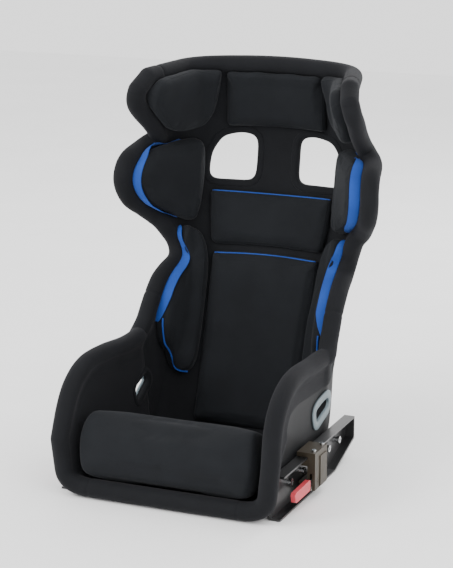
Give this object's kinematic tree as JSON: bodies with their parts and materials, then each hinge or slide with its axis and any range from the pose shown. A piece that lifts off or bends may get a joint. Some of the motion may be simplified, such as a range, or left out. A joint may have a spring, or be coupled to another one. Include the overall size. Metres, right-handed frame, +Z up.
{
  "type": "racing seat",
  "caption": "Winged motorsport bucket seat with padded fabric trim, harness slots, side rails and quick-adjust carriages with red-gripped release levers.",
  "frame": {"origin": "on the ground under the centre of the bounding box", "axes": "+X to the right of someone facing the seat from the front, +Y to the back of the seat, +Z up; the seat is mirror symmetric across X = 0"},
  "size_m": [0.6162, 0.6722, 0.8551],
  "materials": {
    "laminate": "satin woven laminate",
    "trim_fabric": "fine velour",
    "pad_fabric": "fine knitted velour",
    "blue_fabric": "smooth knit",
    "grey_plastic": "matt",
    "black_plastic": "matt",
    "black_steel": "satin black",
    "zinc_steel": "bright zinc",
    "black_rubber": "matt",
    "bronze_aluminium": "dark anodised",
    "glide_plastic": "matt",
    "spring_steel": "drawn wire",
    "lever_steel": "satin",
    "red_plastic": "moulded",
    "friction_lining": "matt"
  },
  "bodies": {
    "seat": {"shell": "laminate", "shell_inserts_left": "zinc_steel", "shell_inserts_right": "zinc_steel", "cover_lower": "trim_fabric", "cover_upper": "trim_fabric", "lip_roll": "trim_fabric", "thigh_roll_left": "trim_fabric", "thigh_roll_right": "trim_fabric", "wing_roll_left": "trim_fabric", "wing_roll_right": "trim_fabric", "crown_roll": "trim_fabric", "outer_skirt_left": "trim_fabric", "outer_skirt_right": "trim_fabric", "head_pad_center": "pad_fabric", "head_bolster_left": "pad_fabric", "head_bolster_right": "pad_fabric", "shoulder_bolster_left": "pad_fabric", "shoulder_bolster_right": "pad_fabric", "shoulder_gusset_left": "blue_fabric", "shoulder_gusset_right": "blue_fabric", "torso_bolster_left": "pad_fabric", "torso_bolster_right": "pad_fabric", "torso_gusset_left": "blue_fabric", "torso_gusset_right": "blue_fabric", "upper_back_pad": "pad_fabric", "lumbar_pad": "pad_fabric", "seat_base_pad": "pad_fabric", "thigh_cushion": "pad_fabric", "lap_slot_bezel_left": "grey_plastic", "lap_slot_bezel_right": "grey_plastic", "crotch_slot_bezel": "black_plastic", "rail_left": "black_steel", "rail_right": "black_steel", "rail_bolts_left": "zinc_steel", "rail_bolts_right": "zinc_steel", "rail_spacers_left": "zinc_steel", "rail_spacers_right": "zinc_steel", "rail_stops_left": "black_rubber", "rail_stops_right": "black_rubber"},
    "carriage_left": {"carriage_left": "bronze_aluminium", "glide_pads_left": "glide_plastic", "carriage_cap_left": "bronze_aluminium", "cap_screws_left": "zinc_steel", "lock_spring_left": "spring_steel", "lever_pivot_left": "zinc_steel"},
    "lever_left": {"release_lever_left": "lever_steel", "release_grip_left": "red_plastic"},
    "lock_plunger_left": {"lock_plunger_left": "lever_steel", "clamp_pad_left": "friction_lining"},
    "carriage_right": {"carriage_right": "bronze_aluminium", "glide_pads_right": "glide_plastic", "carriage_cap_right": "bronze_aluminium", "cap_screws_right": "zinc_steel", "lock_spring_right": "spring_steel", "lever_pivot_right": "zinc_steel"},
    "lever_right": {"release_lever_right": "lever_steel", "release_grip_right": "red_plastic"},
    "lock_plunger_right": {"lock_plunger_right": "lever_steel", "clamp_pad_right": "friction_lining"}
  },
  "joints": [
    {"name": "slide_left", "type": "slide", "parent": "seat", "child": "carriage_left", "axis": [0, 1, 0], "range_m": [-0.09, 0.06]},
    {"name": "lever_left", "type": "hinge", "parent": "carriage_left", "child": "lever_left", "pos_m": [-0.2575, -0.127, 0.036], "axis": [-1, 0, 0], "range_deg": [0, 18], "stiffness_Nm_per_rad": 0.6, "springref_deg": -20.05},
    {"name": "lock_plunger_left", "type": "slide", "parent": "carriage_left", "child": "lock_plunger_left", "axis": [-1, 0, 0], "range_m": [0, 0.006], "deforming": ["lock_spring_left"]},
    {"name": "slide_right", "type": "slide", "parent": "seat", "child": "carriage_right", "axis": [0, 1, 0], "range_m": [-0.09, 0.06]},
    {"name": "lever_right", "type": "hinge", "parent": "carriage_right", "child": "lever_right", "pos_m": [0.2575, -0.127, 0.036], "axis": [-1, 0, 0], "range_deg": [0, 18], "stiffness_Nm_per_rad": 0.6, "springref_deg": -20.05},
    {"name": "lock_plunger_right", "type": "slide", "parent": "carriage_right", "child": "lock_plunger_right", "axis": [1, 0, 0], "range_m": [0, 0.006], "deforming": ["lock_spring_right"]}
  ],
  "couplings": [
    {"joint": "slide_right", "follows": "slide_left", "ratio": 1},
    {"joint": "lock_plunger_left", "follows": "lever_left", "m_per_rad": 0.019},
    {"joint": "lock_plunger_right", "follows": "lever_right", "m_per_rad": 0.019}
  ]
}
